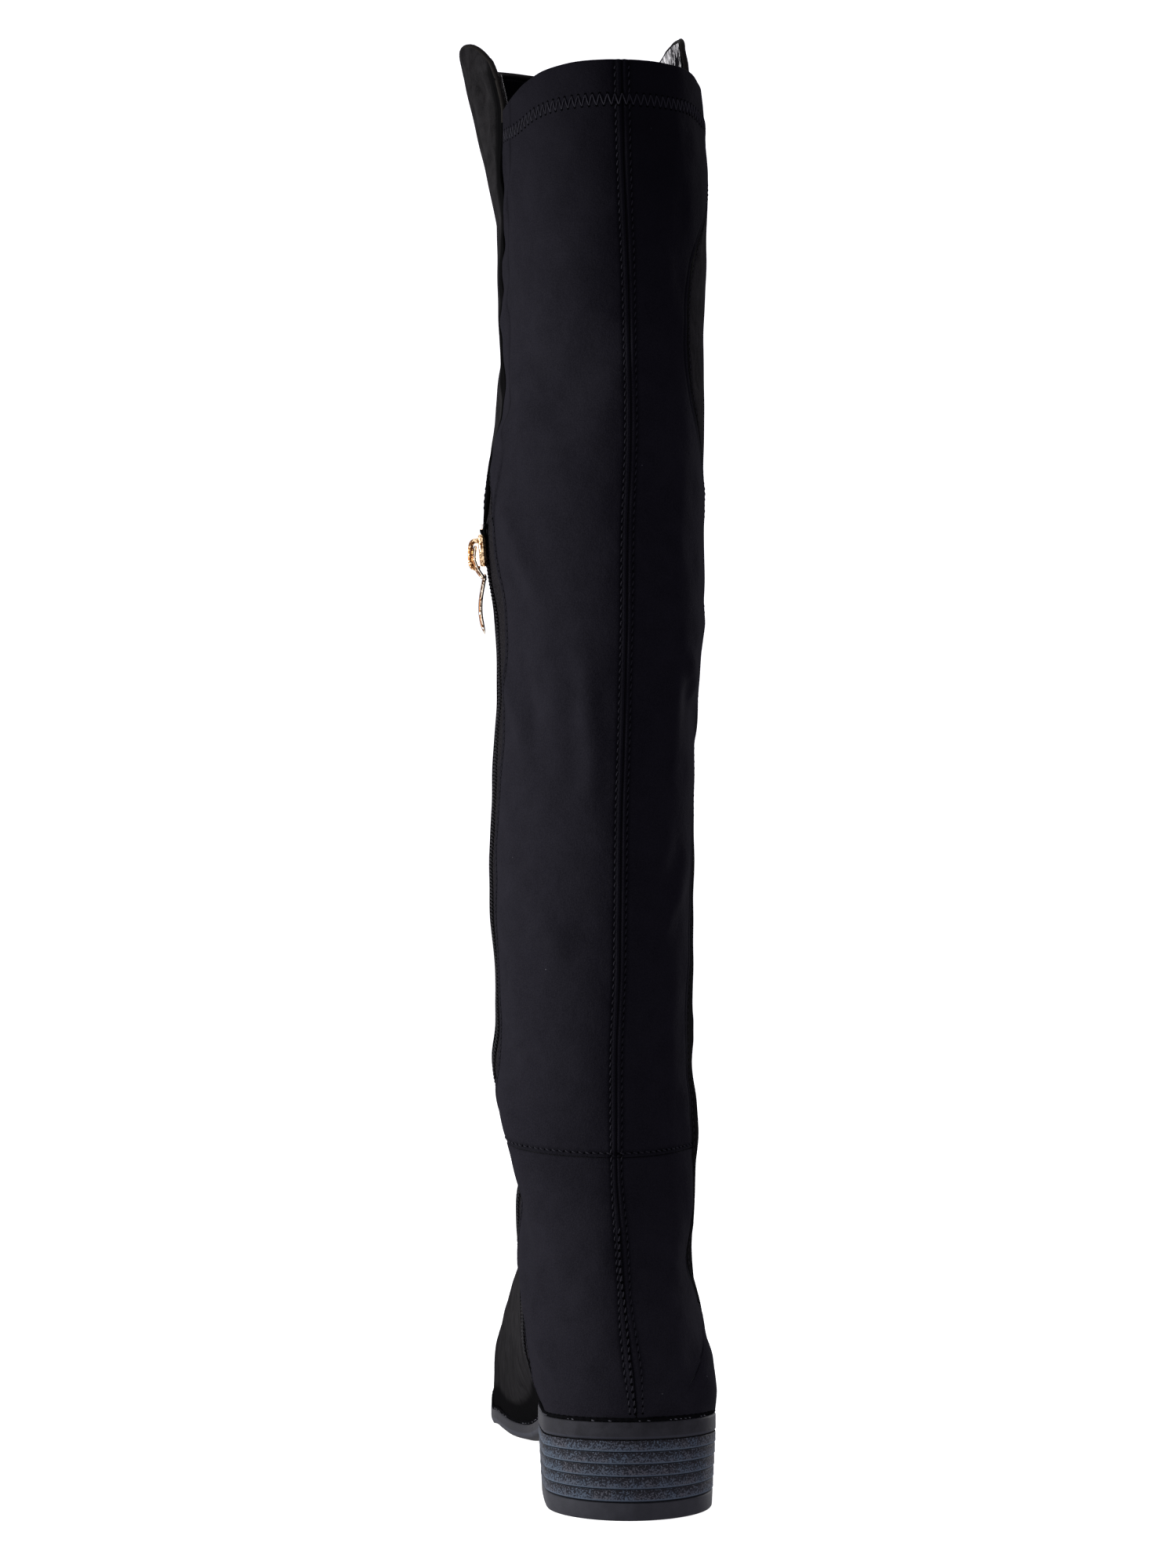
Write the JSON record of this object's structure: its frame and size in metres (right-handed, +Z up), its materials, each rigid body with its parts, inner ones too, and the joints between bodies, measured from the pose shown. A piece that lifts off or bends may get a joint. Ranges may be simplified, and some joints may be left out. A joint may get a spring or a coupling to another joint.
{
  "type": "over-the-knee boot",
  "caption": "Right over-the-knee boot: suede-look front, smooth stretch back, inner zip with a long pull, low stacked-look block heel.",
  "frame": {"origin": "centre of the heel's face on the floor", "axes": "+Z up the shaft, +Y towards the toe, +X to the outer side of the right foot"},
  "size_m": [0.1082, 0.2685, 0.5752],
  "materials": {
    "upper_black": "matt suede-look front and smooth stretch back",
    "insole_black": "matt",
    "sole_charcoal": "satin",
    "heel_stack": "matt, stacked look",
    "lift_black": "matt",
    "zip_black": "satin",
    "slider_metal": "satin rose tone",
    "stop_metal": "dark satin",
    "pull_gold": "polished gold tone"
  },
  "bodies": {
    "boot": {"upper": "upper_black", "insole": "insole_black", "outsole": "sole_charcoal", "heel_block": "heel_stack", "top_lift": "lift_black", "zip_chain": "zip_black", "zip_slider": "slider_metal", "zip_top_stop": "stop_metal"},
    "zip_pull": {"zip_pull": "pull_gold"}
  },
  "joints": [
    {"name": "pull_swing", "type": "hinge", "parent": "boot", "child": "zip_pull", "pos_m": [-0.05694, 0.02927, 0.371], "axis": [0, 1, 0], "range_deg": [0, 165]}
  ]
}
